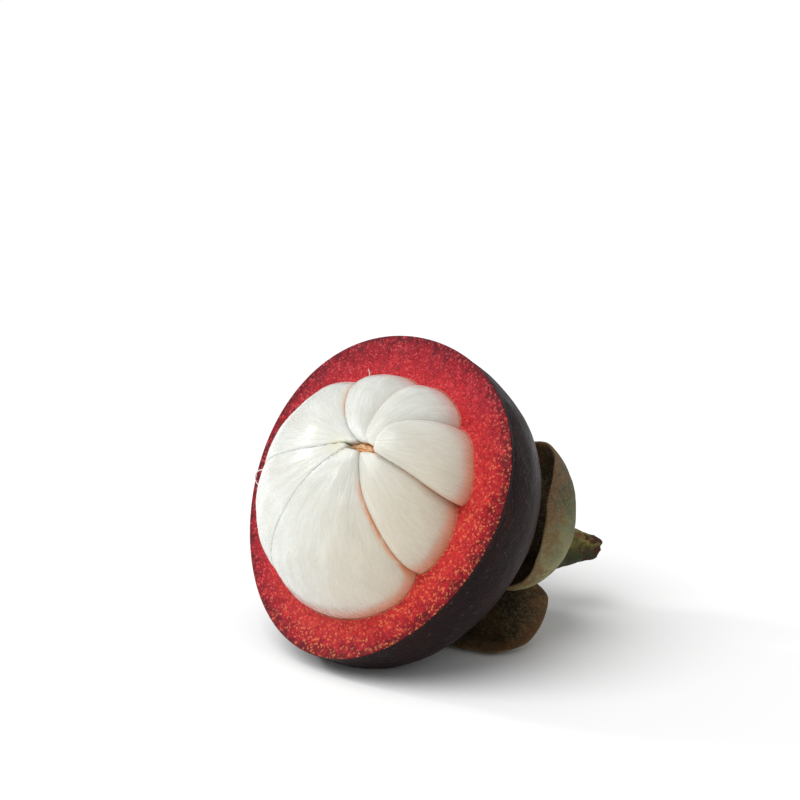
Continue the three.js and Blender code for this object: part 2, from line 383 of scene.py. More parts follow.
def noise_of(tree, spot, scale, detail, **inputs):
    """Cloudy noise, with its features at about one over the scale in size."""
    made = node(tree, "ShaderNodeTexNoise", Vector=spot, Scale=scale, Detail=detail, **inputs)
    return made.outputs["Fac"]


def carried(tree, name):
    """A number that the piece carries at each of its points."""
    return node(tree, "ShaderNodeAttribute", {"attribute_name": name}).outputs["Fac"]


def stretch(tree, vector, across, along, up=1.0):
    """The same place squeezed or stretched, so that a pattern there is long one way."""
    made = node(tree, "ShaderNodeMapping", Vector=vector)
    made.inputs["Scale"].default_value = (across, along, up)
    return made.outputs["Vector"]


def ramp(tree, value, start, end, low=0.0, high=1.0):
    """Stretches a number so that start becomes low and end becomes high, with soft ends."""
    made = node(tree, "ShaderNodeMapRange", {"interpolation_type": "SMOOTHSTEP"},
                Value=value, From_Min=start, From_Max=end, To_Min=low, To_Max=high)
    return made.outputs["Result"]


def material(name):
    """A new material's tree, its shader, and the fruit's own coordinates in millimetres."""
    made = bpy.data.materials.new(name)
    made.use_nodes = True
    tree = made.node_tree
    shader = tree.nodes["Principled BSDF"]
    turning = turned.inverted().to_euler()
    spot = node(tree, "ShaderNodeTexCoord").outputs["Object"]
    moved = node(tree, "ShaderNodeMapping", {"vector_type": "POINT"}, Vector=spot)
    moved.inputs["Location"].default_value = -(turned.inverted() @ Vector(HEART))
    moved.inputs["Rotation"].default_value = turning
    moved.inputs["Scale"].default_value = (1 / MM,) * 3
    return made, tree, shader, moved.outputs["Vector"]


def wire(tree, shader, **inputs):
    """Joins sockets to the shader's inputs, or sets plain values there."""
    for name, value in inputs.items():
        socket = shader.inputs[name.replace("_", " ")]
        if isinstance(value, bpy.types.NodeSocket):
            tree.links.new(value, socket)
        else:
            socket.default_value = value


# %% [markdown]
# ## Patches and grains: two effects that several finishes share
# Skin, sepals, stem and core all have patches, where one tone gives way to another with a ragged
# edge. Noise seldom leaves the middle half of its range, so the patches spread that half out first.
# Pith, skin, sepals and stem all have grains: tiny cells, each a little lighter or darker and a
# little higher or lower than the next. Each effect is a node group, made once and placed in every
# finish with its own sizes.

# %% The patches group
def group(name, inputs, outputs):
    """An empty node group, its incoming socket names with their usual values, and its outputs."""
    made = bpy.data.node_groups.new(name, "ShaderNodeTree")
    for label, value in inputs.items():
        kind = "NodeSocketVector" if value is None else "NodeSocketFloat"
        socket = made.interface.new_socket(label, in_out="INPUT", socket_type=kind)
        if value is not None:
            socket.default_value = value
    for label in outputs:
        made.interface.new_socket(label, in_out="OUTPUT", socket_type="NodeSocketFloat")
    return made, made.nodes.new("NodeGroupInput"), made.nodes.new("NodeGroupOutput")


patches, given, result = group(
    "patches", {"Vector": None, "Size": 5.0, "Coverage": 0.5, "Softness": 0.1}, ["Mask"])
closeness = reckon(patches, "DIVIDE", 1.0, given.outputs["Size"])
cloud = node(patches, "ShaderNodeTexNoise", Vector=given.outputs["Vector"], Scale=closeness,
             Detail=4.0, Roughness=0.6)
edge = reckon(patches, "SUBTRACT", 1.0, given.outputs["Coverage"])
low = reckon(patches, "SUBTRACT", edge, given.outputs["Softness"])
high = plus(patches, edge, given.outputs["Softness"])
spread = node(patches, "ShaderNodeMapRange", {"interpolation_type": "LINEAR"},
              Value=cloud.outputs["Fac"], From_Min=0.25, From_Max=0.75)
patches.links.new(ramp(patches, spread.outputs["Result"], low, high), result.inputs["Mask"])
print("made the group", patches.name)

# %% The grains group
grains, given, result = group("grains", {"Vector": None, "Size": 0.5, "Shuffle": 0.3}, ["Shade", "Height"])
closeness = reckon(grains, "DIVIDE", 1.0, given.outputs["Size"])
warp = node(grains, "ShaderNodeTexNoise", Vector=given.outputs["Vector"], Scale=closeness, Detail=1.0)
push = times(grains, given.outputs["Size"], given.outputs["Shuffle"])
apart = node(grains, "ShaderNodeVectorMath", {"operation": "SCALE"},
             Vector=warp.outputs["Color"], Scale=push)
pushed = node(grains, "ShaderNodeVectorMath", {"operation": "ADD"},
              _0=given.outputs["Vector"], _1=apart.outputs["Vector"])
cells = node(grains, "ShaderNodeTexVoronoi", {"feature": "F1"}, Vector=pushed.outputs["Vector"],
             Scale=closeness, Randomness=1.0)
tone = node(grains, "ShaderNodeSeparateColor", Color=cells.outputs["Color"])
grains.links.new(tone.outputs["Red"], result.inputs["Shade"])
grains.links.new(ramp(grains, cells.outputs["Distance"], 0.0, 0.75, 1.0, 0.0), result.inputs["Height"])
print("made the group", grains.name)


def place_group(tree, made, **inputs):
    """Puts a node group into a finish."""
    return node(tree, "ShaderNodeGroup", {"node_tree": made}, **inputs)


# %% [markdown]
# ## The skin's finish
# A ripe skin is a purple so dark that it is nearly black, half glossy and as leathery as an old
# glove. It has browner patches, a few rust-brown scuffs and a scatter of pale specks. The shine
# is broken up by three sizes of bump: wide soft dimples, pores and a fine leather grain. The skin's
# own colour is so dark that its shine is most of what the eye sees, so the roughness changes from
# place to place too.

# %% Skin
skin_finish, tree, shader, spot = material("skin")
mottling = place_group(tree, patches, Vector=spot, Size=9.0, Coverage=0.5, Softness=0.45).outputs["Mask"]
base = blend(tree, mottling, palette(20, 8, 11), palette(36, 18, 18))
scuffs = place_group(tree, patches, Vector=spot, Size=6.0, Coverage=0.16, Softness=0.14).outputs["Mask"]
scratchy = place_group(tree, patches, Vector=spot, Size=0.7, Coverage=0.5, Softness=0.3).outputs["Mask"]
rubbed = times(tree, scuffs, times(tree, scratchy, 0.55))
base = blend(tree, rubbed, base, palette(92, 52, 38))
leather = place_group(tree, grains, Vector=spot, Size=0.38, Shuffle=1.2)
specks = ramp(tree, leather.outputs["Shade"], 0.975, 0.985, 0.0, 0.2)
base = blend(tree, specks, base, palette(120, 96, 92))
dimples = noise_of(tree, spot, 0.45, 2.0)
pores = noise_of(tree, spot, 1.9, 3.0, Roughness=0.6)
height = plus(tree, times(tree, dimples, 0.35), times(tree, pores, 0.22))
height = plus(tree, height, times(tree, leather.outputs["Height"], 0.035))
bump = node(tree, "ShaderNodeBump", Strength=0.55, Distance=MM, Height=height)
gloss = ramp(tree, mottling, 0.0, 1.0, 0.34, 0.46)
gloss = plus(tree, gloss, times(tree, rubbed, 0.3))
wire(tree, shader, Base_Color=base, Roughness=gloss, Normal=bump.outputs["Normal"], Specular_IOR_Level=0.06)
print("made the finish", skin_finish.name)

# %% [markdown]
# ## The pith's finish
# Under the skin the rind is a wet crimson pith that looks like packed sugar: tiny juicy grains
# that catch the light. It is darkest next to the skin and a lighter red next to the flesh, and
# warmest towards the lower right of the cut. The piece carries a field named across, 0 at the skin
# and 1 at the flesh, so the colours follow the cut wherever it goes. Each grain then gets its own
# tone, and a few get painted highlights: glints of light on wet grains, painted pink towards the
# upper left of the cut and yellow orange towards the lower right.

# %% Pith
pith_finish, tree, shader, spot = material("pith")
across = carried(tree, "across")
drift = noise_of(tree, spot, 0.09, 2.0)
ragged = noise_of(tree, spot, 0.55, 3.0)
shifted = plus(tree, across, ramp(tree, ragged, 0.3, 0.7, -0.16, 0.16))
crimson = blend(tree, ramp(tree, shifted, 0.0, 0.35), palette(96, 10, 22), palette(152, 18, 34))
warm = blend(tree, ramp(tree, shifted, 0.3, 0.95), crimson, palette(186, 30, 40))
low_side = node(tree, "ShaderNodeSeparateXYZ", Vector=spot)
side = reckon(tree, "SUBTRACT", low_side.outputs["X"], low_side.outputs["Y"])
side = plus(tree, side, times(tree, drift, 20.0))
warm = blend(tree, times(tree, ramp(tree, side, -14.0, 44.0), ramp(tree, shifted, 0.1, 0.9)),
             warm, palette(204, 52, 50))
grain = place_group(tree, grains, Vector=spot, Size=0.34, Shuffle=1.0)
shade = grain.outputs["Shade"]
base = blend(tree, ramp(tree, shade, 0.45, 0.1, 0.0, 0.45), warm, palette(112, 10, 22))
# Painted highlights: the brightest grains are painted pink to yellow orange, as glints of light on wet
# grains.
painted_glints = blend(tree, ramp(tree, side, 6.0, 40.0), palette(222, 84, 86), palette(238, 142, 92))
base = blend(tree, ramp(tree, shade, 0.72, 1.0, 0.0, 0.55), base, painted_glints)
lining = times(tree, ramp(tree, across, 0.95, 1.0), 0.6)
base = blend(tree, lining, base, palette(206, 140, 108))
height = times(tree, grain.outputs["Height"], 0.13)
bump = node(tree, "ShaderNodeBump", Strength=0.75, Distance=MM, Height=height)
wire(tree, shader, Base_Color=base, Roughness=0.4, Normal=bump.outputs["Normal"],
     Specular_IOR_Level=0.15, Subsurface_Weight=0.12, Subsurface_Scale=0.5 * MM)
shader.inputs["Subsurface Radius"].default_value = (1.0, 0.25, 0.2)
print("made the finish", pith_finish.name)

# %% [markdown]
# ## The flesh's finish
# The flesh is white, wet and lets light in: light goes in at one place and comes out a little
# farther on, which is what subsurface scattering does. Fibres run out from the hub, so its fine
# streaks can't come from a pattern that runs straight through space. The segments carry a field
# named strands instead: how far round the hub a point is, how far out from it, and on which
# segment. A noise that is short round the hub and long outwards gives the streaks. Creases and
# the border next to the pith are warmer, because the light that comes out there has been through
# the rind. Three more fields find those places: how deep a point has sunk into a crease, how far
# inland of its segment's walls it is, and how high it is over the brim of the cut.

# %% Streaks of the flesh
GREEN_END = (4.4, 4.4, 16.0)         # the left end of the slit
STAINED_END = (9.4, 5.6, 14.0)       # its right end, where the core's fibres lie

flesh_finish, tree, shader, spot = material("flesh")
strands = node(tree, "ShaderNodeAttribute", {"attribute_name": "strands"}).outputs["Vector"]
streaks = noise_of(tree, stretch(tree, strands, 1.15, 0.13), 1.0, 3.0, Roughness=0.6, Distortion=0.5)
fine_streaks = noise_of(tree, stretch(tree, strands, 3.4, 0.3), 1.0, 2.0, Distortion=0.8)
clouds = noise_of(tree, spot, 0.2, 2.0)
base = blend(tree, ramp(tree, streaks, 0.35, 0.65), palette(211, 213, 207), palette(220, 222, 216))
base = blend(tree, ramp(tree, clouds, 0.4, 0.65, 0.0, 0.3), base, palette(210, 207, 193))
print("the flesh is white with streaks")

# %% Warmer places of the flesh
depth = carried(tree, "sunk")
brim = carried(tree, "brim")
inland = carried(tree, "inland")
laid = node(tree, "ShaderNodeSeparateXYZ", Vector=strands)
low_side = node(tree, "ShaderNodeSeparateXYZ", Vector=spot)
side = reckon(tree, "SUBTRACT", low_side.outputs["X"], times(tree, low_side.outputs["Y"], 0.35))
# Beige towards the lower right: partly the flesh's own creamier tone and partly painted shade, on the side
# that the light reaches less.
right = ramp(tree, side, 2.0, 26.0)
base = blend(tree, times(tree, right, 0.6), base, palette(212, 195, 164))
in_crease = times(tree, ramp(tree, inland, 1.0, 0.05), ramp(tree, depth, 0.9, 2.4))
in_crease = times(tree, in_crease, ramp(tree, laid.outputs["Y"], 6.0, 18.0, 0.25, 1.0))
base = blend(tree, times(tree, in_crease, ramp(tree, fine_streaks, 0.3, 0.6, 0.35, 0.9)),
             base, palette(214, 140, 86))
low_down = times(tree, ramp(tree, brim, 4.0, 0.2), ramp(tree, right, 0.0, 1.0, 0.25, 0.9))
base = blend(tree, low_down, base, palette(222, 158, 124))
from_green = node(tree, "ShaderNodeVectorMath", {"operation": "DISTANCE"}, _0=spot, _1=GREEN_END)
green = times(tree, ramp(tree, from_green.outputs["Value"], 3.4, 0.4), ramp(tree, fine_streaks, 0.3, 0.65))
base = blend(tree, times(tree, green, 0.7), base, palette(214, 208, 160))
from_core = node(tree, "ShaderNodeVectorMath", {"operation": "DISTANCE"}, _0=spot, _1=STAINED_END)
stained = times(tree, ramp(tree, from_core.outputs["Value"], 3.6, 1.0), ramp(tree, depth, 0.3, 1.0))
base = blend(tree, stained, base, palette(222, 168, 116))

# %% Flesh
height = plus(tree, times(tree, streaks, 0.26), times(tree, fine_streaks, 0.05))
bump = node(tree, "ShaderNodeBump", Strength=0.6, Distance=MM, Height=height)
gloss = ramp(tree, fine_streaks, 0.3, 0.7, 0.2, 0.34)
wire(tree, shader, Base_Color=base, Roughness=gloss, Normal=bump.outputs["Normal"],
     Specular_IOR_Level=0.45, Coat_Weight=0.4, Coat_Roughness=0.12, Subsurface_Weight=0.75,
     Subsurface_Scale=0.9 * MM)
shader.inputs["Subsurface Radius"].default_value = (1.0, 0.9, 0.8)
print("made the finish", flesh_finish.name)

# %% [markdown]
# The fibres in the slit are what is left of the core. They are orange brown, paler where they are
# thin, and wet like the flesh round them.

# %% Core fibres
core_finish, tree, shader, spot = material("core")
tone = place_group(tree, patches, Vector=spot, Size=0.9, Coverage=0.5, Softness=0.3).outputs["Mask"]
base = blend(tree, tone, palette(224, 150, 92), palette(240, 206, 162))
wire(tree, shader, Base_Color=base, Roughness=0.4, Subsurface_Weight=0.5, Subsurface_Scale=0.6 * MM)
print("made the finish", core_finish.name)

# %% [markdown]
# ## The sepals' finish
# A sepal is a thick leaf, olive to grey green and dull, with a fine wool of bumps and brown where
# it has dried. Its margin is the driest: a thin brown line that comes and goes. The face that was
# pressed to the rind is browner, and it is painted darker still as painted shade, for the shadow
# between blade and rind. The piece carries two fields, margin and inner, for those. The sepals are
# also painted darker towards the upper side of the fruit, as painted shade.

# %% Sepal
sepal_finish, tree, shader, spot = material("sepal")
margin = carried(tree, "margin")
inner = carried(tree, "inner")
tone = place_group(tree, patches, Vector=spot, Size=8.0, Coverage=0.55, Softness=0.45).outputs["Mask"]
base = blend(tree, tone, palette(64, 64, 28), palette(144, 142, 100))
# Painted shade: the face that lay against the rind is painted dark brown, for the shadow between blade and
# rind.
inside = blend(tree, tone, palette(32, 24, 12), palette(84, 60, 28))
# Painted shade: the blades are painted darker towards the upper side of the fruit.
height_for_shade = node(tree, "ShaderNodeSeparateXYZ", Vector=spot).outputs["Y"]
base = blend(tree, ramp(tree, height_for_shade, 0.0, 13.0, 0.0, 0.75), base, palette(48, 44, 18))
dried = place_group(tree, patches, Vector=spot, Size=4.0, Coverage=0.36, Softness=0.2).outputs["Mask"]
base = blend(tree, times(tree, dried, 0.5), base, palette(112, 92, 46))
base = blend(tree, inner, base, inside)
spots = place_group(tree, patches, Vector=spot, Size=1.1, Coverage=0.13, Softness=0.05).outputs["Mask"]
base = blend(tree, times(tree, spots, 0.5), base, palette(56, 36, 22))
ragged = noise_of(tree, spot, 0.5, 3.0)
edge = plus(tree, margin, ramp(tree, ragged, 0.3, 0.7, -0.14, 0.14))
base = blend(tree, ramp(tree, edge, 0.72, 0.98, 0.0, 0.75), base, palette(104, 70, 36))
wool = place_group(tree, grains, Vector=spot, Size=0.32, Shuffle=1.0)
veins = noise_of(tree, spot, 0.9, 4.0, Roughness=0.65)
base = blend(tree, ramp(tree, wool.outputs["Shade"], 0.5, 1.0, 0.0, 0.22), base, palette(150, 148, 112))
height = plus(tree, times(tree, wool.outputs["Height"], 0.07), times(tree, veins, 0.3))
bump = node(tree, "ShaderNodeBump", Strength=0.7, Distance=MM, Height=height)
wire(tree, shader, Base_Color=base, Roughness=ramp(tree, tone, 0.0, 1.0, 0.55, 0.72),
     Normal=bump.outputs["Normal"], Specular_IOR_Level=0.35)
print("made the finish", sepal_finish.name)

# %% [markdown]
# ## The stem's finish
# The stub of stem is green wood: yellow green with brown ridges, and a dry brown end where it was
# broken from the branch. The piece carries three fields. Dry grows to 1 at that end, ridge is 1 on
# a ridge's crest, and upper tells how far a place faces up, because the underside is painted
# darker, as painted shade.

# %% Stem
stem_finish, tree, shader, spot = material("stem")
dry = carried(tree, "dry")
ridge = carried(tree, "ridge")
grown = stretch(tree, spot, 1.0, 1.0, 0.25)
tone = place_group(tree, patches, Vector=grown, Size=2.6, Coverage=0.5, Softness=0.35).outputs["Mask"]
base = blend(tree, tone, palette(66, 70, 26), palette(122, 112, 50))
upper = carried(tree, "upper")
# Painted shade: the underside, which faces away from the light, is painted a darker green.
base = blend(tree, ramp(tree, upper, 0.55, -0.3, 0.0, 0.85), base, palette(40, 48, 24))
ragged = noise_of(tree, spot, 0.8, 3.0)
crest = plus(tree, ridge, ramp(tree, ragged, 0.3, 0.7, -0.45, 0.25))
base = blend(tree, times(tree, ramp(tree, crest, 0.5, 1.1), ramp(tree, upper, 0.2, 0.8)),
             base, palette(116, 60, 36))
withered = plus(tree, dry, ramp(tree, ragged, 0.3, 0.7, -0.12, 0.12))
base = blend(tree, ramp(tree, withered, 0.84, 0.98), base, palette(66, 36, 24))
bark = place_group(tree, grains, Vector=grown, Size=0.45, Shuffle=1.4)
base = blend(tree, ramp(tree, bark.outputs["Shade"], 0.0, 0.4, 0.3, 0.0), base, palette(58, 40, 24))
height = plus(tree, times(tree, bark.outputs["Height"], 0.18), times(tree, ragged, 0.4))
bump = node(tree, "ShaderNodeBump", Strength=0.8, Distance=MM, Height=height)
wire(tree, shader, Base_Color=base, Roughness=ramp(tree, withered, 0.5, 1.0, 0.55, 0.85),
     Normal=bump.outputs["Normal"], Specular_IOR_Level=0.35)
print("made the finish", stem_finish.name)

# %% [markdown]
# ## The rind
# The rind is one thick bowl: skin outside, a flat crimson cut, and a hollow that fits the flesh.
# A lathe would make it, so a line of points is spun a full turn. The line's points are numbered
# by height, and each number is then sent to its own place: skin rows up from the stem end, a tiny
# round over the knife's edge, rows across the cut, and rows down the hollow. Where it runs off
# the axis, the hollow has to follow the lobed flesh, so it is found from the flesh formula.

# %% Spinning a net
def spun_net(rows, steps):
    """A closed net: a line of points up the axis, spun a full turn. A point's height is its row."""
    shape = bmesh.new()
    line = [shape.verts.new((0 if row in (0, rows - 1) else 10, 0, row)) for row in range(rows)]
    edges = [shape.edges.new(pair) for pair in zip(line, line[1:])]
    bmesh.ops.spin(shape, geom=line + edges, cent=(0, 0, 0), axis=(0, 0, 1), dvec=(0, 0, 0),
                   angle=2 * pi, steps=steps, use_merge=True, use_duplicate=False)
    bmesh.ops.remove_doubles(shape, verts=shape.verts, dist=1e-4)
    return shape


def rows_and_angles(shape):
    """The row number and the angle round the axis of each vertex of a spun net."""
    points = points_of(shape)
    return points[:, 2].round().astype(int), np.arctan2(points[:, 1], points[:, 0])


# %% The rind's rows
SKIN_ROWS = 72
EDGE_ROWS = 5
CUT_ROWS = 44
HOLLOW_ROWS = 22
ROUND_STEPS = 560
KNIFE_EDGE = 0.45                    # radius of the round where the knife left the skin
CUT_UNEVEN = 0.22                    # how far the cut is from flat
LIP_HEIGHT = 0.5                     # the pith clings to the flesh and rises by this
LIP_WIDTH = 0.8
FLESH_GAP = 0.04
SHALLOWEST = 16.5                    # the slit runs down through the flesh, but the hollow doesn't
HOLLOW_TOP = 0.3                     # the hollow's own rim rises with the lip


def hollow(angle, share):
    """The wall of the hollow, from the rim (0) down to its floor (1)."""
    down = share * pi / 2
    heading = unit(angle) * np.cos(down)[:, None] - np.array([0, 0, 1]) * np.sin(down)[:, None]
    out = reach(all_flesh, BALL_MIDDLE, heading, FARTHEST).clip(SHALLOWEST) + FLESH_GAP
    return BALL_MIDDLE + heading * out[:, None]


edge_share = asin((KNIFE_EDGE / RIND_DEPTH) ** (RIND_SQUARENESS / 2)) / (pi / 2)
skin_shares = 1 - (1 - edge_share) * np.linspace(0, 1, SKIN_ROWS)
rind = spun_net(SKIN_ROWS + EDGE_ROWS + CUT_ROWS + HOLLOW_ROWS, ROUND_STEPS)
row, angle = rows_and_angles(rind)
on_skin = row < SKIN_ROWS
on_hollow = row >= SKIN_ROWS + EDGE_ROWS + CUT_ROWS
on_cut = ~on_skin & ~on_hollow
print("the rind's net has", len(row), "points")

# %% The rind's surface
outer = skin(angle, np.where(on_skin, skin_shares[row.clip(0, SKIN_ROWS - 1)], 0))
down_share = (row - (SKIN_ROWS + EDGE_ROWS + CUT_ROWS)).clip(0) / (HOLLOW_ROWS - 1)
inner = np.zeros_like(outer)
inside = on_cut | on_hollow
inner[inside] = hollow(angle[inside], down_share[inside])

width = np.linalg.norm((inner - outer)[:, :2], axis=1).clip(1e-6)
edge_turn = ((row - SKIN_ROWS + 1) / EDGE_ROWS).clip(0, 1) * pi / 2
edge_part = KNIFE_EDGE * (1 - np.cos(edge_turn)) / width
cut_step = ((row - SKIN_ROWS - EDGE_ROWS + 1) / (CUT_ROWS + 1)).clip(0, 1)
part = edge_part + (1 - edge_part) * cut_step
cut = outer + (inner - outer) * part[:, None]
from_skin = width * part
from_flesh = width * (1 - part)
cut[:, 2] = -KNIFE_EDGE * (1 - np.sqrt(1 - (1 - from_skin / KNIFE_EDGE).clip(0) ** 2))
points = np.where(on_skin[:, None], outer, np.where(on_cut[:, None], cut, inner))

fade = (from_skin / 2).clip(0, 1)
points[on_cut, 2] += (CUT_UNEVEN * fade * (wander(points, 6.0, 3.1) - 0.4)
                      + LIP_HEIGHT * np.exp(-(from_flesh / LIP_WIDTH) ** 2)
                      * (0.6 + 0.4 * wander(points, 2.5, 7.7)))[on_cut]
top_of_hollow = on_hollow & (down_share == 0)
points[top_of_hollow, 2] += HOLLOW_TOP
print("the cut is", round(width[on_cut].min(), 1), "to", round(width[on_cut].max(), 1), "mm wide")

# %% The rind's soft dents
DENT_DEPTH = 0.16                    # the skin only dips in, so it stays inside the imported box
outward = outer / np.linalg.norm(outer, axis=1)[:, None]
dents = DENT_DEPTH * (wander(points, 9.0, 1.7, octaves=3) - 1).clip(-2, 0)
points[on_skin] += (outward * dents[:, None])[on_skin]
place(rind, points)
pith_rows = row >= SKIN_ROWS + 1
for vertex, is_pith in zip(rind.verts, pith_rows):
    vertex.tag = bool(is_pith)
for face in rind.faces:
    face.material_index = int(all(vertex.tag for vertex in face.verts))
across = np.where(on_skin, 0, np.where(on_hollow, 1 + down_share, part))
piece("rind_bowl", rind, [skin_finish, pith_finish], ["rind"], {"across": across})

# %% [markdown]
# ## The seven segments of flesh
# A segment starts as an icosphere, which spreads its points evenly and has no poles. Each point
# looks out from a place in the middle of the segment and goes to where the segment's formula ends.
# On top of that the surface swells and sinks a little, so no two segments are the same. The
# fields that the finish needs are worked out from the same points.

# %% Segments
SEGMENT_DETAIL = 7
MIDDLE_OUT = 0.55                    # how far out of the hub its middle is, as a share of the way
SWELLING = 0.12                      # soft unevenness of the surface
FOLDS = [0.02, 0.03, 0.03, 0.08, 0.12, 0.16, 0.2]  # folds that run out from the slit, by segment
FOLD_SHAPE = np.array([0.42, 0.05, 1])              # they are narrow round the hub and long outwards
STRANDS_ROUND = 12                   # millimetres of pattern for each radian round the hub
STRANDS_APART = 40                   # so that no two segments have the same part of the pattern
CALM_RIM = 3                         # the unevenness starts so far above the cut
CALM_WALL = 2                        # and so far from a wall


def segment_middle(number):
    """A place in a segment that all of its surface can be seen from, and its angle round the hub."""
    start, end = CREASES[number][1][1], CREASES[following(number)][1][1]
    middle_angle = radians((start + (end + 360 if end < start else end)) / 2)
    heading = np.array([cos(middle_angle), sin(middle_angle), 0])
    out = MIDDLE_OUT * (BALL_RADII[0] + (BALL_MIDDLE - HUB) @ heading)
    return HUB - np.array([0, 0, 1]) + heading * out, middle_angle


def segment(number):
    """One segment of flesh, with the fields that its finish reads."""
    shape = bmesh.new()
    bmesh.ops.create_icosphere(shape, subdivisions=SEGMENT_DETAIL, radius=1)
    heading = points_of(shape)
    heading /= np.linalg.norm(heading, axis=1)[:, None]
    middle, middle_angle = segment_middle(number)
    far_out = reach(lambda p: segment_field(number, p, -CREASE_OVERLAP), middle, heading, FARTHEST)
    points = middle + heading * far_out[:, None]

    from_hub = points - HUB
    round_hub = np.arctan2(from_hub[:, 1], from_hub[:, 0]) - middle_angle
    round_hub = np.arctan2(np.sin(round_hub), np.cos(round_hub))
    out = np.linalg.norm(from_hub[:, :2], axis=1) + (BALL_RADII[2] - points[:, 2]).clip(0)
    pattern_round = round_hub * STRANDS_ROUND + STRANDS_APART * number
    strands = np.stack([pattern_round, out, np.full_like(out, number)], axis=1)
    above = (points[:, 2] / CALM_RIM).clip(0, 1)
    walls = (-past_walls(number, points, 0) / CALM_WALL).clip(0, 1)
    relief = SWELLING * wander(points, 5.0, 2.3 * number)
    relief += FOLDS[number] * wander(strands * FOLD_SHAPE, 1.0, 5.1)
    points += heading * (relief * above * walls)[:, None]
    place(shape, points)

    fields = {
        "strands": strands,
        "sunk": -past_ball(number, points),
        "inland": -past_walls(number, points, 0),
        "brim": points[:, 2],
    }
    name = f"segment_{number + 1}"
    piece(f"flesh_{name}", shape, [flesh_finish], [name], fields)


for number in range(len(CREASES)):
    segment(number)

# %% [markdown]
# ## Sepals
# A sepal is a flat pebble bent into a cup. The bend is a formula: flat in the middle, then up on
# a radius by an angle, then straight on to the edge, and each edge has its own radius. The blade
# thins out to its margin, which ripples, and the whole is faintly wrinkled as a drying leaf is.
# Where the table is in the way the blade is lifted along it.

# %% How a blade curls
TIP_CURL = (6.4, 5, 1.6)             # flat, radius, angle; below 0 the angle is away from the rind
DRAPED_TIP_CURL = (8, 10, 1.0)
ROOT_CURL = (1, 14, 0.5)
SIDE_CURL = (5, 12, 0.9)
DEEP_SIDE_CURL = (7, 6.5, 1.5)
SLIGHT_CURL = (9, 12, 0.5)
REFLEXED_SIDE_CURL = (5, 12, -0.8)

# name: angle round the stem, level, length, width, how round its outline is (2 is an ellipse and less
# is more pointed), then how the tip and the two sides curl
SEPALS = {
    "sepal_right": (19, -30.8, 21, 17.5, 2.2, TIP_CURL, DEEP_SIDE_CURL, SIDE_CURL),
    "sepal_top": (119, -33.8, 17, 14.5, 2.2, TIP_CURL, SLIGHT_CURL, SLIGHT_CURL),
    "sepal_left": (213, -31.2, 20, 16.5, 2.2, TIP_CURL, SIDE_CURL, SIDE_CURL),
    "sepal_bottom": (-65, -31.7, 16.6, 15.8, 1.75, DRAPED_TIP_CURL, REFLEXED_SIDE_CURL, REFLEXED_SIDE_CURL),
}
SEPAL_MIDDLE = 14.5                  # how far from the stem's axis the widest part of a blade is
SEPAL_ROOT = 5.6                     # and how far from it the blade starts
SEPAL_THICKNESS = 2.2
ROOT_ROUNDNESS = 1.5
PRESS_SOFTNESS = 1                   # over how much height a blade begins to feel the table
PRESS_DEPTH = 0.35                   # the blade is squeezed by so much where it lies


def curled(distance, curl):
    """Where a blade is after a distance from its middle: how far away, how high and how steep."""
    flat, radius, angle = curl.T
    way, most = np.sign(angle), np.abs(angle)
    turn = np.clip((distance - flat) / radius, 0, most)
    rest = (distance - flat - radius * most).clip(0)
    away = np.minimum(distance, flat) + radius * np.sin(turn) + rest * np.cos(turn)
    return away, way * (radius * (1 - np.cos(turn)) + rest * np.sin(turn)), way * turn


def pressed(points, half_thickness):
    """Lifts what would be under the table, softly, by a blade of so much half thickness."""
    lifted = on_table(points)
    under = half_thickness - lifted[:, 2]
    lifted[:, 2] += (under + np.hypot(under, PRESS_SOFTNESS)) / 2
    return in_fruit(lifted)


# %% Making a sepal
BLADE_STEPS = (176, 88)              # round a blade and from face to face
RIPPLE = 0.03                        # how much of its reach the margin ripples by
WRINKLE = 0.16
FACE_CHANGE = 6                      # how sharply the inner face's colour gives way at the margin
EDGE_THINNING = 0.75                 # 0.6 gives a full round edge and 1 a plain lens


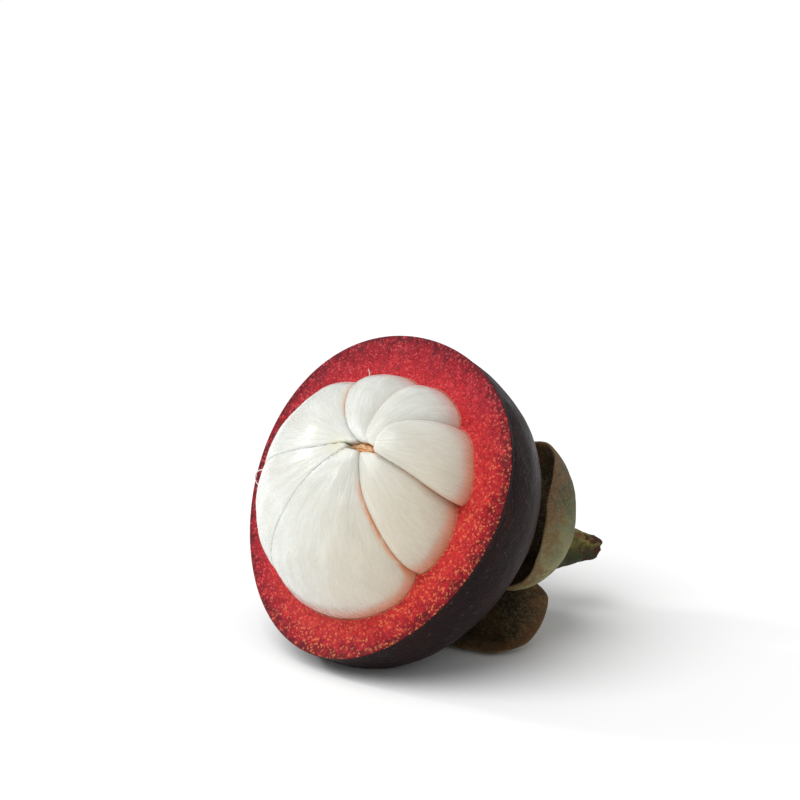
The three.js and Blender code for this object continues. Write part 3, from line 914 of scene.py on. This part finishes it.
def sepal(name, at, level, length, width, roundness, tip, low_side, high_side):
    """One sepal: x runs across the blade and y from its root to its tip, till it is turned."""
    shape = bmesh.new()
    bmesh.ops.create_uvsphere(shape, u_segments=BLADE_STEPS[0], v_segments=BLADE_STEPS[1], radius=1)
    ball = points_of(shape)
    heading = np.arctan2(ball[:, 1], ball[:, 0])
    tipward, sideways = np.sin(heading), np.cos(heading)
    to_tip = (tipward > 0)[:, None]
    reach_out = np.where(tipward > 0, length, SEPAL_MIDDLE - SEPAL_ROOT)
    power = np.where(tipward > 0, roundness, ROOT_ROUNDNESS)
    edge = (np.abs(sideways / width) ** power
            + np.abs(tipward / reach_out) ** power) ** (-1 / power)
    wave = wander(unit(heading) * 6, 2.2, level)
    edge *= 1 - RIPPLE * (0.6 + wave).clip(0)
    side = np.where((sideways > 0)[:, None], low_side, high_side)
    ends = np.where(to_tip, tip, ROOT_CURL)
    curl = ends + (side - ends) * sideways[:, None] ** 2
    share = np.linalg.norm(ball[:, :2], axis=1)
    away, rise, steep = curled(share * edge, curl)

    up = np.stack([-sideways * np.sin(steep), -tipward * np.sin(steep), np.cos(steep)], axis=1)
    middle = np.stack([sideways * away, SEPAL_MIDDLE + tipward * away, level + rise], axis=1)
    round_stem = np.array(Matrix.Rotation(radians(at - 90), 3, "Z"))
    up, middle = up @ round_stem.T, middle @ round_stem.T
    middle = pressed(middle, SEPAL_THICKNESS / 2 - PRESS_DEPTH)
    thick = SEPAL_THICKNESS / 2 * np.sign(ball[:, 2]) * np.abs(ball[:, 2]) ** EDGE_THINNING
    wrinkles = WRINKLE * wander(middle, 3.5, 4.4, octaves=3) * (1 - share ** 4)
    place(shape, middle + up * (thick + wrinkles)[:, None])
    fields = {"margin": share, "inner": (ball[:, 2] * FACE_CHANGE).clip(-1, 1) / 2 + 0.5}
    piece(f"{name}_blade", shape, [sepal_finish], [name], fields)


for name, blade in SEPALS.items():
    *sizes, tip, low_side, high_side = blade
    sepal(name, *sizes, *(np.array(curl, float) for curl in (tip, low_side, high_side)))

# %% [markdown]
# ## Stem
# The stub is thick where it holds the fruit and thins to the end that broke off the branch. It is
# spun like the rind, then bent, and its radius ripples round the axis into low ridges. The broken
# end sinks in and is ragged.

# %% Making the stem
STEM_TOP = -27.4
STEM_END = -52
STEM_RADII = [5.2, 5.3, 5.2, 5.2, 5.6, 6.2, 6.4, 5.8, 4.7, 3.5, 2.7]
STEM_BEND = np.array([13, 6, 0])
STEM_ROWS = 90
END_ROWS = 8
STEM_STEPS = 112
STEM_RIDGES = 6
RIDGE_HEIGHT = 0.07                  # as a share of the radius
RIDGE_TWIST = 2.2                    # radians that the ridges turn by along the stem
END_HOLLOW = 1.6                     # how far the broken end sinks in
END_RAGGED = 0.35
BEND_LATE = 1.8                      # 1 leans the stem evenly and more bends it nearer to its end
STEM_DENTS = 0.12

stem = spun_net(STEM_ROWS + 2 * END_ROWS, STEM_STEPS)
row, angle = rows_and_angles(stem)
share = ((row - END_ROWS) / (STEM_ROWS - 1)).clip(0, 1)
radius = np.interp(share * (len(STEM_RADII) - 1), range(len(STEM_RADII)), STEM_RADII)
start_part = (row / END_ROWS).clip(0, 1)
end_part = ((STEM_ROWS + 2 * END_ROWS - 1 - row) / END_ROWS).clip(0, 1)
inward = np.minimum(start_part, end_part)
wave = np.cos(STEM_RIDGES * angle + RIDGE_TWIST * share)
ridges = 1 + RIDGE_HEIGHT * (wave - 1) / 2 * np.sin(pi * share.clip(0.1, 1)).clip(0.2)
radius = radius * ridges * inward
points = unit(angle) * radius[:, None]
points[:, 2] = STEM_TOP + (STEM_END - STEM_TOP) * share
broken = (1 - end_part) * END_HOLLOW
points[:, 2] += broken + np.where(share > 0.9, END_RAGGED * (1 + wander(points, 1.3, 9.0)), 0)
bend = ((STEM_TOP - points[:, 2]) / (STEM_TOP - STEM_END)).clip(0, 1) ** BEND_LATE
points += STEM_BEND * bend[:, None]
points += unit(angle) * (STEM_DENTS * (wander(points, 2.0, 6.0) - 0.8) * inward)[:, None]
place(stem, points)
piece("stem_stub", stem, [stem_finish], ["stem"],
      {"dry": share, "ridge": (wave + 1) / 2 * inward, "upper": unit(angle) @ AXES[2]})

# %% [markdown]
# ## Fibres
# Where the segments meet, a few orange-brown fibres are left of the core that fed them, and three
# white ones came loose when the fruit was opened: two curl over the cut on the left and a short
# one stands up at the top. A fibre starts as a ring, which is extruded along its path, one step
# at a time, and gets thinner to its end. The core itself is a lumpy egg, long in the slit's
# direction, that fills the slit under its fibres.

# %% Laying a fibre
FIBRE_SIDES = 8
FIBRE_STEPS = 28
FIBRE_TAPER = 0.965                  # the next ring's size as a share of the last one's
SMOOTHINGS = 6                       # how many times the path's corners are eased


def path_at(stops, share):
    """A path through its stops, straight from one to the next. The stops are points in the fruit's frame."""
    place_on = share * (len(stops) - 1)
    return np.array([np.interp(place_on, range(len(stops)), axis) for axis in np.array(stops).T]).T


def fibre(name, stops, radius, finish):
    """A fibre along its stops. It is thickest where it starts."""
    shape = bmesh.new()
    steps = np.linspace(0, 1, FIBRE_STEPS)
    path = path_at(stops, steps)
    for _ in range(SMOOTHINGS):
        path[1:-1] = (path[:-2] + 2 * path[1:-1] + path[2:]) / 4
    ring = bmesh.ops.create_circle(shape, cap_ends=True, segments=FIBRE_SIDES, radius=radius)["verts"]
    ahead = Vector(path[1] - path[0])
    bmesh.ops.rotate(shape, verts=ring, matrix=ahead.to_track_quat("Z", "Y").to_matrix())
    bmesh.ops.translate(shape, verts=ring, vec=Vector(path[0]))
    face = shape.faces[:][0]
    for step in range(1, FIBRE_STEPS):
        extruded = bmesh.ops.extrude_discrete_faces(shape, faces=[face])["faces"][0]
        bmesh.ops.translate(shape, verts=extruded.verts, vec=Vector(path[step] - path[step - 1]))
        middle = extruded.calc_center_median()
        bmesh.ops.scale(shape, verts=extruded.verts, vec=(FIBRE_TAPER,) * 3,
                        space=Matrix.Translation(-middle))
        heading = Vector(path[min(step + 1, FIBRE_STEPS - 1)] - path[step - 1])
        turn = extruded.normal.rotation_difference(heading).to_matrix()
        bmesh.ops.rotate(shape, verts=extruded.verts, cent=middle, matrix=turn)
        face = extruded
    piece(name, shape, [finish])


# %% The fibres
CORE_FIBRES = [
    [(5.6, 4.9, 15.0), (7.4, 5.4, 14.7), (9.4, 5.7, 13.9), (11.0, 5.7, 12.9)],
    [(7.0, 5.7, 14.6), (8.6, 6.0, 14.0), (10.4, 5.8, 13.4), (11.8, 5.6, 12.5)],
    [(7.6, 5.0, 14.4), (9.4, 5.1, 13.9), (11.2, 5.3, 13.0), (12.0, 5.4, 12.2)],
    [(6.4, 5.4, 14.9), (8.2, 5.5, 14.4), (9.8, 5.4, 13.9), (10.8, 5.9, 13.2)],
]
CORE_FIBRE_RADIUS = 0.24
CORE_AT = (8.6, 5.5, 12.6)
CORE_HALF_SIZES = (4.4, 1.3, 1.6)
CORE_LEAN = radians(24)              # the core's top follows the slope of the ball
CORE_LUMPS = 0.3
LOOSE_FIBRES = {
    "fibre_left": [(-22.2, 2.4, 0.6), (-24.4, 2.9, 1.4), (-26.4, 2.2, 1.6), (-28.5, 2.1, 0.3)],
    "fibre_loop": [(-22.8, -1.2, 0.6), (-26.2, -2.0, 1.6), (-29.4, -2.9, 1.2), (-30.0, -4.4, 0.5),
                   (-28.2, -5.5, 0.9), (-26.0, -5.8, 1.0)],
    "fibre_top": [(-8.8, 17.0, 0.8), (-9.2, 19.4, 1.0), (-9.6, 20.9, 1.4), (-10.2, 21.6, 1.5)],
}
LOOSE_FIBRE_RADIUS = 0.2
for number, stops in enumerate(CORE_FIBRES):
    fibre(f"core_fibre_{number + 1}", stops, CORE_FIBRE_RADIUS, core_finish)
for name, stops in LOOSE_FIBRES.items():
    fibre(name, stops, LOOSE_FIBRE_RADIUS, flesh_finish)

# %% The core
core = bmesh.new()
bmesh.ops.create_icosphere(core, subdivisions=5, radius=1)
bmesh.ops.scale(core, verts=core.verts, vec=CORE_HALF_SIZES)
bmesh.ops.rotate(core, verts=core.verts, matrix=Matrix.Rotation(CORE_LEAN, 3, "Y"))
bmesh.ops.translate(core, verts=core.verts, vec=CORE_AT)
core_points = points_of(core)
lumps = CORE_LUMPS * wander(core_points, 1.1, 2.0)
place(core, core_points + lumps[:, None] * np.array([0, 0, 1]))
piece("core_root", core, [core_finish])

# %% [markdown]
# ## Camera
# A long lens from four hundred millimetres away, a little above the fruit, shows the cut from the
# front and the stem beyond it without bending either. The camera's place is counted from the heart
# of the fruit, along its own right and up.

# %% Camera
LOOKING_DOWN = radians(15)
VIEW_DISTANCE = 411.07
VIEW_RIGHT = 5.18
VIEW_UP = 16.65
back = np.array([0, -cos(LOOKING_DOWN), sin(LOOKING_DOWN)])
upward = np.array([0, sin(LOOKING_DOWN), cos(LOOKING_DOWN)])
eye = HEART + back * VIEW_DISTANCE + np.array([1, 0, 0]) * VIEW_RIGHT + upward * VIEW_UP
lens = bpy.data.cameras.new("camera")
lens.lens = 100
lens.sensor_width = 36
lens.clip_start, lens.clip_end = 0.01, 20
camera = bpy.data.objects.new("camera", lens)
camera.location = Vector(eye) * MM
camera.rotation_euler = (pi / 2 - LOOKING_DOWN, 0, 0)
bpy.context.scene.collection.objects.link(camera)
bpy.context.scene.camera = camera
print("the camera is at", eye.round(1), "mm")

# %% [markdown]
# ## Floor
# A plain white floor, so wide that its far edge is level with the camera. It is dull, so it shows
# the soft shadow of the fruit but no mirror image.

# %% Floor
floor_shape = bmesh.new()
bmesh.ops.create_grid(floor_shape, x_segments=1, y_segments=1, size=12)
floor_mesh = bpy.data.meshes.new("floor")
floor_shape.to_mesh(floor_mesh)
floor_shape.free()
floor = bpy.data.objects.new("floor", floor_mesh)
bpy.context.scene.collection.objects.link(floor)
floor_finish = bpy.data.materials.new("floor")
floor_finish.use_nodes = True
wire(floor_finish.node_tree, floor_finish.node_tree.nodes["Principled BSDF"],
     Base_Color=(0.96, 0.96, 0.96, 1), Roughness=0.95, Specular_IOR_Level=0.0)
floor_mesh.materials.append(floor_finish)
print("the floor is", round(floor.dimensions.x, 1), "metres wide")

# %% [markdown]
# ## Light
# A studio for food: one very wide soft light from above and the left, so wide that its shadows have
# no edge, a pale room all round that keeps the shadows open, and one small lamp low on the left
# that makes the wet flesh sparkle without adding much light of its own.

# %% Light
def heading_to(azimuth, elevation):
    """The way to a light. Azimuth 0 is the camera's, and more is farther to the right."""
    azimuth, elevation = radians(azimuth), radians(elevation)
    return Vector((sin(azimuth) * cos(elevation), -cos(azimuth) * cos(elevation), sin(elevation)))


def light(name, kind, heading, distance, energy):
    """A light that faces the fruit from a distance in metres."""
    lamp = bpy.data.lights.new(name, kind)
    lamp.energy = energy
    made = bpy.data.objects.new(name, lamp)
    made.location = Vector(HEART) * MM + heading * distance
    made.rotation_euler = heading.to_track_quat("Z", "Y").to_euler()
    bpy.context.scene.collection.objects.link(made)
    return lamp


light("wide", "SUN", heading_to(-52, 58), 1.0, 2.15).angle = radians(50)
light("sparkle", "AREA", heading_to(-112, 28), 0.8, 1.2).size = 0.08
world = bpy.data.worlds.new("studio")
world.use_nodes = True
room = world.node_tree.nodes["Background"]
room.inputs["Color"].default_value = (1, 1, 1, 1)
room.inputs["Strength"].default_value = 0.47
bpy.context.scene.world = world
bpy.context.scene.view_settings.view_transform = "Standard"
print("lights:", [made.name for made in bpy.data.lights])
